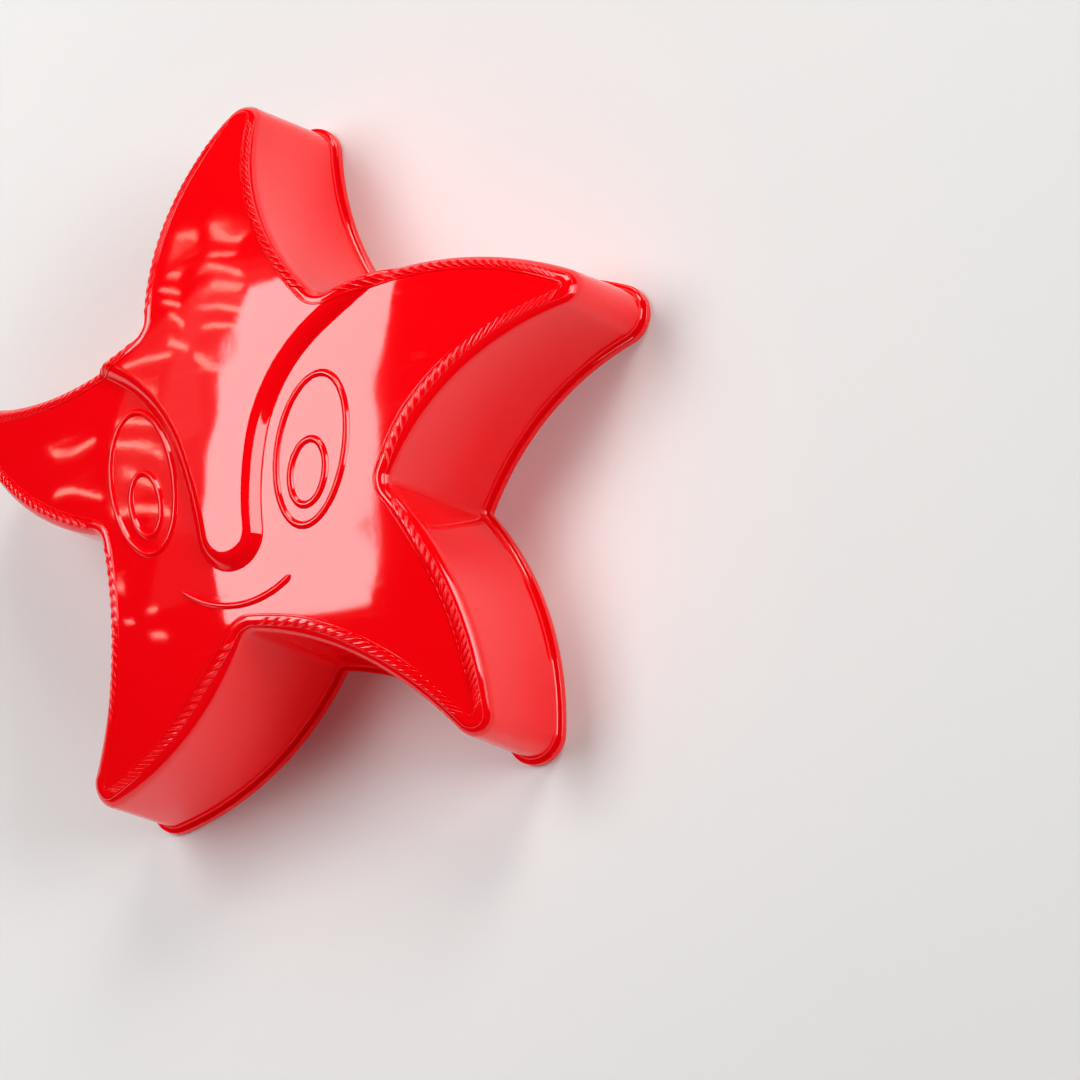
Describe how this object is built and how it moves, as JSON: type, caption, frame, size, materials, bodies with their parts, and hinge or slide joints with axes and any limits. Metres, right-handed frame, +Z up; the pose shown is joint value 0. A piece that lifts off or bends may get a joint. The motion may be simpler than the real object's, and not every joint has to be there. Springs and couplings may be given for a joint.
{
  "type": "starfish sand mould",
  "caption": "Hollow star-shaped sand mould, open underneath, with a domed smiling face, curved arms, a slanting side wall, a rope-like border and a small rim at the foot.",
  "frame": {"origin": "On the floor plane, at the middle of the rectangle round the rim.", "axes": "+Z up, out of the face. +Y towards the arm above the forehead. +X to the right as the face is seen from above."},
  "size_m": [0.1276, 0.122, 0.0372],
  "materials": {
    "red_plastic": "glossy injection-moulded plastic, saturated red, lets a little light through"
  },
  "bodies": {
    "root": {"forehead_arm_rim": "red_plastic", "left_arm_rim": "red_plastic", "lower_left_arm_rim": "red_plastic", "lower_right_arm_rim": "red_plastic", "right_arm_rim": "red_plastic", "forehead_arm_wall": "red_plastic", "left_arm_wall": "red_plastic", "lower_left_arm_wall": "red_plastic", "lower_right_arm_wall": "red_plastic", "right_arm_wall": "red_plastic", "face_panel": "red_plastic", "nose_panel": "red_plastic", "nose_step": "red_plastic", "forehead_arm_rope": "red_plastic", "left_arm_rope": "red_plastic", "lower_left_arm_rope": "red_plastic", "lower_right_arm_rope": "red_plastic", "right_arm_rope": "red_plastic", "left_eye_line": "red_plastic", "left_pupil_line": "red_plastic", "right_eye_line": "red_plastic", "right_pupil_line": "red_plastic", "mouth_line": "red_plastic", "left_eye_print": "red_plastic", "left_pupil_print": "red_plastic", "right_eye_print": "red_plastic", "right_pupil_print": "red_plastic", "mouth_print": "red_plastic"}
  },
  "joints": []
}
